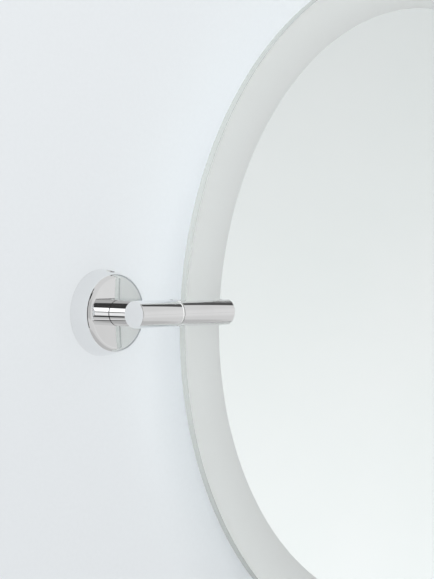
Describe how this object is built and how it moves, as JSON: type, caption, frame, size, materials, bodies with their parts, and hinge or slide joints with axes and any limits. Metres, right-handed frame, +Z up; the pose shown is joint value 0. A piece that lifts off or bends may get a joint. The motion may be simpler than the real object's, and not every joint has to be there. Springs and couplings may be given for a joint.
{
  "type": "tilting wall mirror",
  "caption": "Round frosted-edge wall mirror that tilts between two chromed pivot brackets, each with a domed flange, a post and a slotted bar that grips the glass.",
  "frame": {"origin": "on the wall plane, midway between the two brackets, at the height of the tilt axis", "axes": "+X along the wall to the right of someone who faces the mirror, +Y into the wall, +Z up"},
  "size_m": [0.6158, 0.0895, 0.4998],
  "materials": {
    "polished_chrome": "mirror-polished chrome plate on brass",
    "zinc_steel": "zinc-plated steel, satin",
    "dark_steel": "blackened screw steel",
    "white_nylon": "natural white nylon",
    "plug_nylon": "grey nylon",
    "clear_liner": "soft translucent liner",
    "mirror_glass": "clear float glass with an acid-etched border and ground edge",
    "silvering": "silvered",
    "backing": "grey safety film"
  },
  "bodies": {
    "wall_brackets": {"left_wall_plate": "zinc_steel", "left_upper_wall_screw": "zinc_steel", "left_lower_wall_screw": "zinc_steel", "left_upper_wall_plug": "plug_nylon", "left_lower_wall_plug": "plug_nylon", "left_flange": "polished_chrome", "left_flange_grub_screw": "dark_steel", "left_post": "polished_chrome", "left_post_bolt": "dark_steel", "left_post_bolt_washer": "zinc_steel", "left_fixed_barrel": "polished_chrome", "left_barrel_grub_screw": "dark_steel", "left_pivot_bush": "white_nylon", "left_pivot_washer": "white_nylon", "right_wall_plate": "zinc_steel", "right_upper_wall_screw": "zinc_steel", "right_lower_wall_screw": "zinc_steel", "right_upper_wall_plug": "plug_nylon", "right_lower_wall_plug": "plug_nylon", "right_flange": "polished_chrome", "right_flange_grub_screw": "dark_steel", "right_post": "polished_chrome", "right_post_bolt": "dark_steel", "right_post_bolt_washer": "zinc_steel", "right_fixed_barrel": "polished_chrome", "right_barrel_grub_screw": "dark_steel", "right_pivot_bush": "white_nylon", "right_pivot_washer": "white_nylon"},
    "mirror": {"glass_disc": "mirror_glass", "silver_layer": "silvering", "backing_film": "backing", "left_pivot_shaft": "zinc_steel", "left_clamp_barrel": "polished_chrome", "left_front_pad": "clear_liner", "left_rear_pad": "clear_liner", "left_pressure_plate": "zinc_steel", "left_outer_clamp_screw": "dark_steel", "left_inner_clamp_screw": "dark_steel", "right_pivot_shaft": "zinc_steel", "right_clamp_barrel": "polished_chrome", "right_front_pad": "clear_liner", "right_rear_pad": "clear_liner", "right_pressure_plate": "zinc_steel", "right_outer_clamp_screw": "dark_steel", "right_inner_clamp_screw": "dark_steel"}
  },
  "joints": [
    {"name": "mirror_tilt", "type": "hinge", "parent": "wall_brackets", "child": "mirror", "pos_m": [0, -0.046, 0], "axis": [1, 0, 0], "range_deg": [-11.5, 7.3]}
  ]
}
